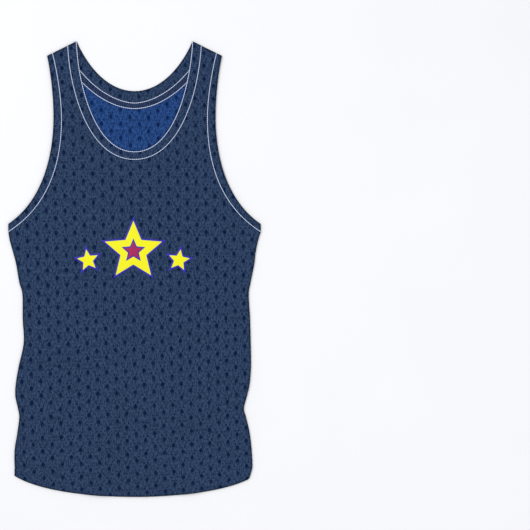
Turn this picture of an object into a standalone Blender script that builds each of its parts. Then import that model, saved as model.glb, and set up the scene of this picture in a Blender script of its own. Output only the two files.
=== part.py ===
"""A sleeveless training bib in eyelet mesh, laid flat with its front upward.

The garment lies on the plane z = 0 with its collar towards +Y and its hem towards -Y. Left
and right are as seen from above, with +X to the right. The origin is under the middle of the
outline. A place on the garment is given as half_width, the distance from the centre line, and
drop, the distance below the highest shoulder point. Everything is in metres.
"""
import math
from collections import namedtuple

import bpy
from mathutils import Vector
from mathutils.geometry import delaunay_2d_cdt

COLLECTION_NAME = "training_bib"

# Driving sizes
BODY_LENGTH = 0.7409  # highest shoulder point to the middle of the hem
CHEST_HALF_WIDTH = 0.2052  # centre line to the foot of the armhole
NECK_HALF_WIDTH = 0.0941  # centre line to the neck's end of the shoulder
SHOULDER_HALF_WIDTH = 0.1423  # centre line to the arm's end of the shoulder
SHOULDER_DROP = 0.0239
ARMHOLE_DROP = 0.2970  # to the foot of the armhole's edge
ARMHOLE_SEAM_DROP = 0.3100  # to the foot of the armhole band's seam

# Cloth
PANEL_THICKNESS = 0.0012
BAND_THICKNESS = 0.0015  # the bands are folded double
TAPE_THICKNESS = 0.0010
SEAM_GAP = 0.0003  # between pieces that are sewn to or lie on each other
GRID_FRONT = 0.0185  # spacing of the points inside each kind of piece
GRID_BACK = 0.0260
GRID_BAND = 0.0500
EDGE_STEP = 0.0090  # longest straight run along an outline
GRID_CLEARANCE = 0.55  # share of the spacing that inner points keep from an outline

# A cubic curve: where it starts and ends, and its two handles, each (half_width, drop)
Curve = namedtuple("Curve", "start first_handle second_handle end")

NECK_POINT = (NECK_HALF_WIDTH, 0.0)
FRONT_NECK_EDGE = Curve(NECK_POINT, (0.0907, 0.0728), (0.0640, 0.1796), (0.0, 0.1796))
FRONT_NECK_SEAM = Curve((0.1086, 0.0072), (0.1045, 0.0854), (0.0732, 0.1924), (0.0, 0.1924))
BACK_NECK_EDGE = Curve(NECK_POINT, (0.0737, 0.0464), (0.0398, 0.0810), (0.0, 0.0810))
BACK_NECK_SEAM = Curve((0.0900, 0.0460), (0.0595, 0.0851), (0.0224, 0.1007), (0.0, 0.1007))
BACK_NECK_SEAM_TOP = (0.0976, 0.0017)  # on the shoulder; the seam runs straight from here
TAPE_LOWER_EDGE = Curve((0.0982, 0.0523), (0.0726, 0.0850), (0.0354, 0.1098), (0.0, 0.1098))
HEM = Curve((0.1952, 0.7066), (0.1502, 0.7349), (0.0544, BODY_LENGTH), (0.0, BODY_LENGTH))

ARMHOLE_NARROWEST = (0.1318, 0.1228)
ARMHOLE_EDGE = (
    Curve((SHOULDER_HALF_WIDTH, SHOULDER_DROP), (0.1367, 0.0483), (0.1318, 0.0895),
          ARMHOLE_NARROWEST),
    Curve(ARMHOLE_NARROWEST, (0.1318, 0.1848), (0.1488, 0.2589),
          (CHEST_HALF_WIDTH, ARMHOLE_DROP)),
)
ARMHOLE_SEAM_NARROWEST = (0.1184, 0.1266)
ARMHOLE_SEAM = (
    Curve((0.1333, 0.0194), (0.1267, 0.0437), (0.1184, 0.0907), ARMHOLE_SEAM_NARROWEST),
    Curve(ARMHOLE_SEAM_NARROWEST, (0.1184, 0.1884), (0.1336, 0.2647),
          (CHEST_HALF_WIDTH, ARMHOLE_SEAM_DROP)),
)

# The side seams hang in uneven waves: drop, and the half widths on the left and the right
SideStation = namedtuple("SideStation", "drop left right")
SIDE_STATIONS = (
    SideStation(ARMHOLE_SEAM_DROP, CHEST_HALF_WIDTH, CHEST_HALF_WIDTH),
    SideStation(0.3240, 0.2029, 0.2009),
    SideStation(0.3435, 0.1975, 0.1969),
    SideStation(0.3630, 0.1925, 0.1946),
    SideStation(0.3923, 0.1874, 0.1887),
    SideStation(0.4118, 0.1824, 0.1857),
    SideStation(0.4508, 0.1819, 0.1878),
    SideStation(0.4898, 0.1803, 0.1889),
    SideStation(0.5288, 0.1884, 0.1894),
    SideStation(0.5580, 0.1933, 0.1871),
    SideStation(0.5775, 0.1938, 0.1826),
    SideStation(0.5970, 0.1897, 0.1779),
    SideStation(0.6110, 0.1875, 0.1812),
    SideStation(0.6360, 0.1905, 0.1870),
    SideStation(0.6653, 0.1951, 0.1905),
    SideStation(0.6945, 0.1950, 0.1915),
)
HEM_CORNER_LEFT = (0.1952, 0.7066)
HEM_CORNER_RIGHT = (0.1872, 0.7094)  # this corner is worn rounder than the other

# Soft folds: a ridge from one point of the garment to another, in signed half widths, right
# positive. rise is its height, reach is how far it spreads to each side, and open_end is the
# share of its height that it keeps where it ends, which is not 0 only at the hem.
Fold = namedtuple("Fold", "start_x start_drop end_x end_drop rise reach open_end")
FRONT_FOLDS = (
    Fold(-0.181, 0.486, -0.072, 0.447, 0.0034, 0.026, 0.0),
    Fold(0.186, 0.411, 0.088, 0.392, 0.0028, 0.023, 0.0),
    Fold(-0.187, 0.611, -0.085, 0.588, 0.0036, 0.025, 0.0),
    Fold(0.178, 0.597, 0.052, 0.556, 0.0040, 0.028, 0.0),
    Fold(-0.196, 0.318, -0.104, 0.362, 0.0028, 0.024, 0.0),
    Fold(0.197, 0.318, 0.121, 0.386, 0.0031, 0.025, 0.0),
    Fold(-0.062, 0.741, -0.045, 0.590, 0.0034, 0.031, 1.0),
    Fold(0.092, 0.741, 0.078, 0.640, 0.0028, 0.026, 1.0),
    Fold(-0.030, 0.270, 0.046, 0.505, 0.0018, 0.055, 0.0),
)
BACK_FOLDS = (
    Fold(-0.150, 0.520, -0.030, 0.470, 0.0010, 0.028, 0.0),
    Fold(0.160, 0.640, 0.040, 0.600, 0.0012, 0.030, 0.0),
    Fold(0.060, 0.250, 0.110, 0.420, 0.0009, 0.030, 0.0),
)
MOST_FRONT_RISE = 0.0050  # folds that cross do not pile up past this
TAPE_CLEAR_REACH = 0.0090  # the front layer is fully lifted this far from the tape's middle
TAPE_EASE_REACH = 0.0340  # and has come down again this far from it

NAVY_MESH = (0.0242, 0.0452, 0.1022, 1.0)
ROYAL_MESH = (0.0185, 0.0545, 0.1878, 1.0)
NAVY_TAPE = (0.0225, 0.0400, 0.0865, 1.0)


def clear_scene():
    """Remove every object of the open scene."""
    for obj in list(bpy.data.objects):
        bpy.data.objects.remove(obj, do_unlink=True)


def make_material(name, colour, roughness):
    """A cloth material of one colour."""
    material = bpy.data.materials.new(name)
    material.use_nodes = True
    shader = material.node_tree.nodes["Principled BSDF"]
    shader.inputs["Base Color"].default_value = colour
    shader.inputs["Roughness"].default_value = roughness
    shader.inputs["Metallic"].default_value = 0.0
    return material


# ---------------------------------------------------------------- outlines


def curve_points(curve):
    """Points along a cubic curve, close enough that no run is longer than EDGE_STEP."""
    points = [Vector(p) for p in curve]
    control_length = sum((b - a).length for a, b in zip(points, points[1:]))
    steps = max(2, math.ceil(control_length / EDGE_STEP))
    start, first, second, end = points
    found = []
    for i in range(steps + 1):
        t = i / steps
        u = 1.0 - t
        found.append(
            start * u ** 3 + first * (3 * u * u * t) + second * (3 * u * t * t) + end * t ** 3
        )
    return found


def joined(*runs):
    """Runs of points in a row, with a point that two runs share kept once."""
    points = []
    for run in runs:
        for point in run:
            point = Vector(point)
            if not points or (point - points[-1]).length > SEAM_GAP:
                points.append(point)
    return points


def smooth_side(side):
    """One side seam from the armhole down, through its stations, as (half_width, drop)."""
    stations = [Vector((getattr(s, side), s.drop)) for s in SIDE_STATIONS]
    corner = Vector(HEM_CORNER_LEFT if side == "left" else HEM_CORNER_RIGHT)
    knots = [stations[0], *stations, corner]
    points = [stations[0]]
    for before, start, end, after in zip(knots, knots[1:], knots[2:], knots[3:]):
        steps = max(1, math.ceil((end - start).length / EDGE_STEP))
        for i in range(1, steps + 1):
            t = i / steps
            points.append(
                0.5 * (
                    2 * start
                    + (end - before) * t
                    + (2 * before - 5 * start + 4 * end - after) * t ** 2
                    + (3 * start - before - 3 * end + after) * t ** 3
                )
            )
    return points


def hem_half(side):
    """The hem from one side's corner to its middle."""
    corner = HEM_CORNER_LEFT if side == "left" else HEM_CORNER_RIGHT
    past_corner = [p for p in curve_points(HEM) if p.x < corner[0] - EDGE_STEP / 2]
    return joined([corner], past_corner)


def armhole_line(curves):
    """An armhole's edge or seam from the shoulder to the side."""
    return joined(*(curve_points(c) for c in curves))


def back_neck_seam():
    """The back neck band's seam from the shoulder to the centre back."""
    return joined([BACK_NECK_SEAM_TOP], curve_points(BACK_NECK_SEAM))


def on_garment(point, sign):
    """A (half_width, drop) point as (x, y), on the left for sign -1 or the right for 1."""
    return Vector((sign * point[0], BODY_LENGTH / 2 - point[1]))


def one_side(points, sign):
    return [on_garment(p, sign) for p in points]


def both_sides(points):
    """A line from the side to the centre line, carried on to the other side."""
    left = one_side(points, -1)
    right = one_side(points, 1)
    return left[:-1] + right[::-1]


def signed_area(outline):
    pairs = zip(outline, outline[1:] + outline[:1])
    return 0.5 * sum(a.x * b.y - b.x * a.y for a, b in pairs)


def inset(outline, distance):
    """An outline moved inward by a distance, so that two that share a seam stay apart."""
    if signed_area(outline) < 0:
        outline = outline[::-1]
    moved = []
    count = len(outline)
    for i, point in enumerate(outline):
        arriving = (point - outline[i - 1]).normalized()
        leaving = (outline[(i + 1) % count] - point).normalized()
        inward = Vector((-arriving.y - leaving.y, arriving.x + leaving.x)).normalized()
        lean = max(0.5, inward.dot(Vector((-arriving.y, arriving.x))))
        moved.append(point + inward * distance / lean)
    return moved


def panel_outline(neck_line):
    """A panel between its neck seam, armhole seams, sides and hem."""
    seam = armhole_line(ARMHOLE_SEAM)
    right = joined(seam, smooth_side("right"), hem_half("right"))
    left = joined(seam, smooth_side("left"), hem_half("left"))
    neck = both_sides(neck_line)
    return joined(neck, one_side(right, 1), one_side(left, -1)[::-1])


def neck_band_outline(edge_line, seam_line):
    return joined(both_sides(edge_line), both_sides(seam_line)[::-1])


def armhole_band_outline(sign):
    edge = one_side(armhole_line(ARMHOLE_EDGE), sign)
    seam = one_side(armhole_line(ARMHOLE_SEAM), sign)
    return joined(edge, seam[::-1])


def tape_outline():
    return joined(
        both_sides(curve_points(BACK_NECK_SEAM)),
        both_sides(curve_points(TAPE_LOWER_EDGE))[::-1],
    )


# ---------------------------------------------------------------- how the cloth lies


def ease(t):
    """A smooth step from 0 to 1."""
    t = min(1.0, max(0.0, t))
    return t * t * (3.0 - 2.0 * t)


def fold_rise(fold, x, drop):
    """How far one fold lifts the cloth at a point."""
    start = Vector((fold.start_x, fold.start_drop))
    along = Vector((fold.end_x, fold.end_drop)) - start
    offset = Vector((x, drop)) - start
    place = offset.dot(along) / along.length_squared
    aside = abs(offset.x * along.y - offset.y * along.x) / along.length
    if aside >= fold.reach or place >= 1.0 or (place <= 0.0 and not fold.open_end):
        return 0.0
    across = 0.5 + 0.5 * math.cos(math.pi * aside / fold.reach)
    lengthwise = ease(1.0 - place) if fold.open_end else math.sin(math.pi * place) ** 2
    return fold.rise * across * lengthwise


def total_rise(folds, x, drop, most):
    """What several folds lift together, easing off towards the most that they may."""
    total = sum(fold_rise(fold, x, drop) for fold in folds)
    return most * (1.0 - math.exp(-total / most))


def back_height(x, y):
    """The underside of the back layer."""
    return total_rise(BACK_FOLDS, x, BODY_LENGTH / 2 - y, PANEL_THICKNESS)


def tape_middle():
    """Points along the middle of the neck tape."""
    upper = curve_points(BACK_NECK_SEAM)
    lower = curve_points(TAPE_LOWER_EDGE)
    shorter = min(len(upper), len(lower))
    middle = []
    for i in range(shorter):
        t = i / (shorter - 1)
        above = upper[round(t * (len(upper) - 1))]
        below = lower[round(t * (len(lower) - 1))]
        middle.append((above + below) / 2)
    return both_sides(middle)


TAPE_MIDDLE = tape_middle()


def tape_lift(x, y):
    """How far the front layer is lifted by the tape that runs under it."""
    here = Vector((x, y))
    nearest = min((here - p).length for p in TAPE_MIDDLE)
    down = (nearest - TAPE_CLEAR_REACH) / (TAPE_EASE_REACH - TAPE_CLEAR_REACH)
    return (TAPE_THICKNESS + SEAM_GAP) * (1.0 - ease(down))


def front_height(x, y):
    """The underside of the front panel."""
    drop = BODY_LENGTH / 2 - y
    folds = total_rise(FRONT_FOLDS, x, drop, MOST_FRONT_RISE)
    return back_height(x, y) + PANEL_THICKNESS + SEAM_GAP + folds + tape_lift(x, y)


def front_band_height(x, y):
    """The underside of the front bands, which lie on the thicker back ones."""
    return front_height(x, y) + BAND_THICKNESS - PANEL_THICKNESS


def tape_height(x, y):
    """The underside of the tape, on the back panel."""
    return back_height(x, y) + PANEL_THICKNESS + SEAM_GAP


# ---------------------------------------------------------------- pieces


def is_inside(point, outline):
    """Even-odd test of a point in an outline."""
    inside = False
    for a, b in zip(outline, outline[1:] + outline[:1]):
        if (a.y > point.y) != (b.y > point.y):
            crossing = a.x + (point.y - a.y) * (b.x - a.x) / (b.y - a.y)
            if point.x < crossing:
                inside = not inside
    return inside


def inner_points(outline, spacing):
    """A staggered grid of points inside an outline, clear of its edge."""
    low_x = min(p.x for p in outline)
    low_y = min(p.y for p in outline)
    high_x = max(p.x for p in outline)
    high_y = max(p.y for p in outline)
    row_pitch = spacing * math.sqrt(3) / 2
    found = []
    for row in range(1, int((high_y - low_y) / row_pitch) + 1):
        stagger = spacing / 2 * (row % 2)
        for column in range(int((high_x - low_x) / spacing) + 2):
            point = Vector((low_x + column * spacing + stagger, low_y + row * row_pitch))
            clear = min((point - p).length for p in outline) > GRID_CLEARANCE * spacing
            if clear and is_inside(point, outline):
                found.append(point)
    return found


def cloth_piece(name, outline, spacing, height, thickness, material, collection):
    """A wall of cloth: an outline filled with triangles, laid at its height, then thickened."""
    outline = inset(outline, SEAM_GAP / 2)
    points = outline + inner_points(outline, spacing)
    loop = list(range(len(outline)))
    flat, _, triangles, *_ = delaunay_2d_cdt(points, [], [loop], 1, SEAM_GAP / 10)
    mesh = bpy.data.meshes.new(name)
    mesh.from_pydata([(p.x, p.y, height(p.x, p.y)) for p in flat], [], triangles)
    mesh.materials.append(material)
    mesh.shade_smooth()
    piece = bpy.data.objects.new(name, mesh)
    collection.objects.link(piece)
    wall = piece.modifiers.new("cloth thickness", "SOLIDIFY")
    wall.thickness = thickness
    wall.offset = 1.0
    return piece


def build_back(collection, navy, royal):
    """The layer that rests on the surface."""
    cloth_piece("back_panel", panel_outline(back_neck_seam()), GRID_BACK, back_height,
                PANEL_THICKNESS, royal, collection)
    cloth_piece("neck_band_back",
                neck_band_outline(curve_points(BACK_NECK_EDGE), back_neck_seam()),
                GRID_BAND, back_height, BAND_THICKNESS, navy, collection)
    for side, sign in (("left", -1), ("right", 1)):
        cloth_piece(f"armhole_band_{side}_back", armhole_band_outline(sign), GRID_BAND,
                    back_height, BAND_THICKNESS, navy, collection)


def build_tape(collection, tape_cloth):
    """The tape inside the back neck, on the back panel just below the band's seam."""
    cloth_piece("neck_tape", tape_outline(), GRID_BAND, tape_height, TAPE_THICKNESS, tape_cloth,
                collection)


def build_front(collection, navy):
    """The layer on top, whose neck is scooped lower."""
    cloth_piece("front_panel", panel_outline(curve_points(FRONT_NECK_SEAM)), GRID_FRONT,
                front_height, PANEL_THICKNESS, navy, collection)
    cloth_piece("neck_band_front",
                neck_band_outline(curve_points(FRONT_NECK_EDGE),
                                  curve_points(FRONT_NECK_SEAM)),
                GRID_BAND, front_band_height, BAND_THICKNESS, navy, collection)
    for side, sign in (("left", -1), ("right", 1)):
        cloth_piece(f"armhole_band_{side}_front", armhole_band_outline(sign), GRID_BAND,
                    front_band_height, BAND_THICKNESS, navy, collection)


def main():
    clear_scene()
    collection = bpy.data.collections.new(COLLECTION_NAME)
    bpy.context.scene.collection.children.link(collection)
    navy = make_material("navy eyelet mesh", NAVY_MESH, 0.85)
    royal = make_material("royal mesh, wrong side up", ROYAL_MESH, 0.85)
    tape_cloth = make_material("navy tape", NAVY_TAPE, 0.9)
    build_back(collection, navy, royal)
    build_tape(collection, tape_cloth)
    build_front(collection, navy)


main()
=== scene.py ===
# Training bib in eyelet mesh, laid flat with its front upward. Metres; the collar is towards +Y.
# A place on the garment is (half width from the centre line, drop below the top of the shoulder).
import math

import bpy
import numpy as np
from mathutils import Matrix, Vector
from mathutils.geometry import delaunay_2d_cdt
from mathutils.kdtree import KDTree


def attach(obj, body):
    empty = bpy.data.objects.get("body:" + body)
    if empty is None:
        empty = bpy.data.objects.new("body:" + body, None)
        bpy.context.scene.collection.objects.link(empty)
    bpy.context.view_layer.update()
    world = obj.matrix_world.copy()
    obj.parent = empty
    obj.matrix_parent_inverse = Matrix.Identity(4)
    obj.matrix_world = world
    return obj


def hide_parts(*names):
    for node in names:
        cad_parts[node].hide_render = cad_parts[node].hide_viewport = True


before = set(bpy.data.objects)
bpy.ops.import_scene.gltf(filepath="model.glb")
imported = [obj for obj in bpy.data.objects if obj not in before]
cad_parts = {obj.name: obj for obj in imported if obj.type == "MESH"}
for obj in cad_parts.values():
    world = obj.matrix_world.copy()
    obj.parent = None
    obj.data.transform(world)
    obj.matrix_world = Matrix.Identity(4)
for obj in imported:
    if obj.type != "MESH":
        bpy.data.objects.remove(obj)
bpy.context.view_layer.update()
print("frame loaded:", ", ".join(sorted(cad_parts)))

# The cut, as the CAD has it. A curve is its start, two handles and its end.
cut = {
    "bodyLength": 0.7409,
    "frontNeckEdge": ((0.0941, 0.0), (0.0907, 0.0728), (0.0640, 0.1796), (0.0, 0.1796)),
    "frontNeckSeam": ((0.1086, 0.0072), (0.1045, 0.0854), (0.0732, 0.1924), (0.0, 0.1924)),
    "backNeckEdge": ((0.0941, 0.0), (0.0737, 0.0464), (0.0398, 0.0810), (0.0, 0.0810)),
    "backNeckSeam": ((0.0900, 0.0460), (0.0595, 0.0851), (0.0224, 0.1007), (0.0, 0.1007)),
    "backNeckSeamTop": (0.0976, 0.0017),  # the seam runs straight from the shoulder here
    "tapeLowerEdge": ((0.0982, 0.0523), (0.0726, 0.0850), (0.0354, 0.1098), (0.0, 0.1098)),
    "hem": ((0.1952, 0.7066), (0.1502, 0.7349), (0.0544, 0.7409), (0.0, 0.7409)),
    "armholeEdge": (
        ((0.1423, 0.0239), (0.1367, 0.0483), (0.1318, 0.0895), (0.1318, 0.1228)),
        ((0.1318, 0.1228), (0.1318, 0.1848), (0.1488, 0.2589), (0.2052, 0.2970)),
    ),
    "armholeSeam": (
        ((0.1333, 0.0194), (0.1267, 0.0437), (0.1184, 0.0907), (0.1184, 0.1266)),
        ((0.1184, 0.1266), (0.1184, 0.1884), (0.1336, 0.2647), (0.2052, 0.3100)),
    ),
    "hemCorner": {"left": (0.1952, 0.7066), "right": (0.1872, 0.7094)},
    "sideDrops": (0.3100, 0.3240, 0.3435, 0.3630, 0.3923, 0.4118, 0.4508, 0.4898,
                  0.5288, 0.5580, 0.5775, 0.5970, 0.6110, 0.6360, 0.6653, 0.6945),
    "sideWidths": {
        "left": (0.2052, 0.2029, 0.1975, 0.1925, 0.1874, 0.1824, 0.1819, 0.1803,
                 0.1884, 0.1933, 0.1938, 0.1897, 0.1875, 0.1905, 0.1951, 0.1950),
        "right": (0.2052, 0.2009, 0.1969, 0.1946, 0.1887, 0.1857, 0.1878, 0.1889,
                  0.1894, 0.1871, 0.1826, 0.1779, 0.1812, 0.1870, 0.1905, 0.1915),
    },
    "step": 0.0025,  # longest run along an outline
    "seamGap": 0.0003,
}

cloth = {
    "panel": 0.0012,
    "band": 0.0015,  # folded double
    "tape": 0.0010,
    "bandPuff": 0.0003,  # how far a folded band swells between its edges
    "edgeRows": 4,  # faces round a turned edge
    "rowClear": 1.6,  # how far in its rows of points start, in half thicknesses
    "rowApart": 0.0011,  # how far they stay from other points
    "weld": 1e-7,  # points nearer than this are one
}


def bezier(curve):
    points = np.array(curve)
    length = np.linalg.norm(np.diff(points, axis=0), axis=1).sum()
    t = np.linspace(0.0, 1.0, max(2, math.ceil(length / cut["step"])) + 1)[:, None]
    u = 1.0 - t
    start, first, second, end = points
    return start * u ** 3 + 3 * first * t * u * u + 3 * second * t * t * u + end * t ** 3


def joined(*runs):
    points = [np.array(p, float) for run in runs for p in run]
    kept = points[:1]
    for point in points[1:]:
        if np.linalg.norm(point - kept[-1]) > cut["seamGap"]:
            kept.append(point)
    return np.array(kept)


def sideSeam(side):
    stations = np.column_stack([cut["sideWidths"][side], cut["sideDrops"]])
    knots = np.vstack([stations[:1], stations, [cut["hemCorner"][side]]])
    points = [stations[0]]
    for before, start, end, after in zip(knots, knots[1:], knots[2:], knots[3:]):
        steps = max(1, math.ceil(np.linalg.norm(end - start) / cut["step"]))
        for t in (np.arange(steps) + 1) / steps:
            points.append(0.5 * (2 * start + (end - before) * t
                                 + (2 * before - 5 * start + 4 * end - after) * t ** 2
                                 + (3 * start - before - 3 * end + after) * t ** 3))
    return np.array(points)


def hemHalf(side):
    corner = cut["hemCorner"][side]
    line = bezier(cut["hem"])
    return joined([corner], line[line[:, 0] < corner[0] - cut["step"] / 2])


def armhole(name):
    return joined(*(bezier(curve) for curve in cut[name]))


def backNeckSeam():
    top = np.array(cut["backNeckSeamTop"])
    start = np.array(cut["backNeckSeam"][0])
    steps = math.ceil(np.linalg.norm(start - top) / cut["step"])
    straight = [top + (start - top) * i / steps for i in range(steps)]
    return joined(straight, bezier(cut["backNeckSeam"]))


def placed(points, sign):
    points = np.asarray(points)
    return np.column_stack([sign * points[:, 0], cut["bodyLength"] / 2 - points[:, 1]])


def bothSides(points):
    return np.vstack([placed(points, -1)[:-1], placed(points, 1)[::-1]])


def panelOutline(neck):
    seam = armhole("armholeSeam")
    right = joined(seam, sideSeam("right"), hemHalf("right"))
    left = joined(seam, sideSeam("left"), hemHalf("left"))
    return joined(bothSides(neck), placed(right, 1), placed(left, -1)[::-1])


def bandOutline(edge, seam):
    return joined(bothSides(edge), bothSides(seam)[::-1])


def armholeBandOutline(sign):
    return joined(placed(armhole("armholeEdge"), sign), placed(armhole("armholeSeam"), sign)[::-1])


def tapeOutline():
    return joined(bothSides(bezier(cut["backNeckSeam"])),
                  bothSides(bezier(cut["tapeLowerEdge"]))[::-1])


# How the cloth lies. A fold is a ridge: start x, start drop, end x, end drop, rise, reach to each
# side, and 1 where it runs on over the hem.
lie = {
    "frontFolds": (
        (-0.181, 0.486, -0.072, 0.447, 0.0034, 0.026, 0),
        (0.186, 0.411, 0.088, 0.392, 0.0028, 0.023, 0),
        (-0.187, 0.611, -0.085, 0.588, 0.0036, 0.025, 0),
        (0.178, 0.597, 0.052, 0.556, 0.0040, 0.028, 0),
        (-0.196, 0.318, -0.104, 0.362, 0.0028, 0.024, 0),
        (0.197, 0.318, 0.121, 0.386, 0.0031, 0.025, 0),
        (-0.062, 0.741, -0.045, 0.590, 0.0034, 0.031, 1),
        (0.092, 0.741, 0.078, 0.640, 0.0028, 0.026, 1),
        (-0.030, 0.270, 0.046, 0.505, 0.0018, 0.055, 0),
    ),
    "backFolds": (
        (-0.150, 0.520, -0.030, 0.470, 0.0010, 0.028, 0),
        (0.160, 0.640, 0.040, 0.600, 0.0012, 0.030, 0),
        (0.060, 0.250, 0.110, 0.420, 0.0009, 0.030, 0),
    ),
    "frontMost": 0.0050,  # what the folds together stay under
    "tapeClear": 0.0090,  # how far from the tape's middle the front layer lies over it
    "tapeEased": 0.0340,  # and how far from there it is level again
    # small creases that the CAD leaves out, on the front layer only
    "creases": (
        (-0.188, 0.372, -0.121, 0.395, 0.0006, 0.009, 0),
        (0.186, 0.452, 0.132, 0.437, 0.0007, 0.008, 0),
        (-0.186, 0.541, -0.139, 0.528, 0.0006, 0.010, 0),
        (0.181, 0.644, 0.118, 0.622, 0.0007, 0.010, 0),
        (-0.150, 0.330, -0.112, 0.372, 0.0005, 0.007, 0),
        (0.112, 0.305, 0.089, 0.352, 0.0005, 0.009, 0),
        (0.020, 0.741, 0.014, 0.668, 0.0006, 0.010, 1),
        (-0.134, 0.736, -0.128, 0.676, 0.0005, 0.009, 1),
        (-0.092, 0.232, -0.041, 0.251, 0.0004, 0.011, 0),
    ),
    "creaseMost": 0.0012,
}


def ease(t):
    t = np.clip(t, 0.0, 1.0)
    return t * t * (3.0 - 2.0 * t)


def foldRise(fold, x, drop):
    startX, startDrop, endX, endDrop, rise, reach, overHem = fold
    alongX, alongDrop = endX - startX, endDrop - startDrop
    length = math.hypot(alongX, alongDrop)
    place = ((x - startX) * alongX + (drop - startDrop) * alongDrop) / length ** 2
    aside = np.abs((x - startX) * alongDrop - (drop - startDrop) * alongX) / length
    across = np.where(aside < reach, 0.5 + 0.5 * np.cos(np.pi * np.minimum(aside / reach, 1.0)), 0.0)
    closed = np.sin(np.pi * np.clip(place, 0.0, 1.0)) ** 2
    return rise * across * (ease(1.0 - place) if overHem else closed)


def totalRise(folds, x, drop, most):
    total = sum(foldRise(fold, x, drop) for fold in folds)
    return most * (1.0 - np.exp(-total / most))


def nearest(points, line):
    tree = KDTree(len(line))
    for i, point in enumerate(line):
        tree.insert((point[0], point[1], 0.0), i)
    tree.balance()
    return np.array([tree.find((point[0], point[1], 0.0))[2] for point in points])


def tapeMiddle():
    upper = bezier(cut["backNeckSeam"])
    lower = bezier(cut["tapeLowerEdge"])
    t = np.linspace(0.0, 1.0, min(len(upper), len(lower)))
    above = upper[np.rint(t * (len(upper) - 1)).astype(int)]
    below = lower[np.rint(t * (len(lower) - 1)).astype(int)]
    return bothSides((above + below) / 2)


def backUnder(points):
    return totalRise(lie["backFolds"], points[:, 0], cut["bodyLength"] / 2 - points[:, 1], cloth["panel"])


def frontUnder(points):
    x, drop = points[:, 0], cut["bodyLength"] / 2 - points[:, 1]
    away = (nearest(points, tapeMiddle()) - lie["tapeClear"]) / (lie["tapeEased"] - lie["tapeClear"])
    overTape = (cloth["tape"] + cut["seamGap"]) * (1.0 - ease(away))
    return (backUnder(points) + cloth["panel"] + cut["seamGap"] + overTape
            + totalRise(lie["frontFolds"], x, drop, lie["frontMost"])
            + totalRise(lie["creases"], x, drop, lie["creaseMost"]))


def frontBandUnder(points):
    return frontUnder(points) + cloth["band"] - cloth["panel"]


def tapeUnder(points):
    return backUnder(points) + cloth["panel"] + cut["seamGap"]


# Where the eyelets stand. Counted in columns and rows from the middle, an eyelet is wherever
# column + row is even. The pitches drift a little because the cloth was cut on a soft stretch: lean
# and tilt slant the columns and the rows, bend and bow curve them, crowd draws them closer towards
# one end, and flare spreads them, in metres for each column or row or for their products.
grainFront = {
    "x": -0.0003, "drop": 0.5012, "columnPitch": 0.01514, "rowPitch": 0.01174,
    "columnLean": 0.00026, "columnBend": 0.0000008, "columnFlare": -0.0000068,
    "columnCrowd": -0.0000174, "rowTilt": -0.000455, "rowCrowd": -0.0000195,
    "rowCrowdMore": -0.00000054, "rowFlare": -0.0000228, "rowBow": -0.0000033,
    "rowBowMore": -0.00000073, "mirror": 1,
}
grainBack = {
    "x": -0.0031, "drop": 0.4286, "columnPitch": 0.01529, "rowPitch": 0.01204,
    "columnLean": 0.00026, "columnBend": 0.0000015, "columnFlare": -0.0000063,
    "columnCrowd": -0.0000167, "rowTilt": -0.000312, "rowCrowd": -0.0000101,
    "rowCrowdMore": -0.00000052, "rowFlare": -0.0000218, "rowBow": -0.0000007,
    "rowBowMore": 0.0, "mirror": -1,  # it is seen from behind
}
grainReach = {
    "columns": 15, "rowsUp": 44, "rowsDown": 30,
    "pointsPerColumn": 3, "pointsPerRow": 2,  # of the plain cloth between the holes
    "rounds": 25,  # of nearing, to count columns and rows back from a place
}


def grainPoint(grain, counts):
    c, r = counts[:, 0], counts[:, 1]
    x = (grain["x"] + grain["columnPitch"] * c + grain["columnLean"] * r + grain["columnBend"] * r * r
         + grain["columnFlare"] * c * r + grain["columnCrowd"] * c * c)
    drop = (grain["drop"] + grain["rowPitch"] * r + grain["rowTilt"] * c + grain["rowCrowd"] * r * r
            + grain["rowCrowdMore"] * r ** 3 + grain["rowFlare"] * c * r + grain["rowBow"] * c * c
            + grain["rowBowMore"] * c * c * r)
    return np.column_stack([grain["mirror"] * x, cut["bodyLength"] / 2 - drop])


def grainCounts(grain, points):
    counts = np.zeros_like(points)
    pitch = np.array([grain["mirror"] * grain["columnPitch"], -grain["rowPitch"]])
    for _ in range(grainReach["rounds"]):
        counts = counts + (points - grainPoint(grain, counts)) / pitch
    return counts


# Eyelets and the two pinholes above each. Rings are (share of the size, depth as a share), and the
# places are counted in columns and rows from an eyelet.
eyelet = {
    "halfWidth": 0.0026, "halfHeight": 0.0041, "pointed": 0.35, "sides": 12,
    "rings": ((1.50, 0.0), (1.12, -0.10), (0.82, 0.62), (0.45, 1.0)), "floor": 1.0,
    "at": ((0.0, 0.0),),
}
pinhole = {
    "halfWidth": 0.0011, "halfHeight": 0.0014, "pointed": 0.0, "sides": 6,
    "rings": ((1.30, 0.0), (0.60, 0.42)), "floor": 0.55,
    "at": ((-0.215, -0.562), (0.215, -0.562)),
}
holeClear = {
    "outline": 1.15,  # how far off the outline stays, in sizes of a hole's outer ring
    "points": 1.12,  # and how far off plain points stay
    "tested": 8,  # directions in which the outline is looked for
    "nearby": 3,  # holes that are looked at from a plain point
    "window": 0.006,  # how far inside a window a hole has to be
    "sparse": 0.004,  # how far outside it the sparse points start
}


def isInside(points, outline):
    found = np.zeros(len(points), bool)
    for a, b in zip(outline, np.roll(outline, -1, axis=0)):
        if a[1] == b[1]:
            continue
        spans = (a[1] > points[:, 1]) != (b[1] > points[:, 1])
        crossing = a[0] + (points[:, 1] - a[1]) * (b[0] - a[0]) / (b[1] - a[1])
        found ^= spans & (points[:, 0] < crossing)
    return found


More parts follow.
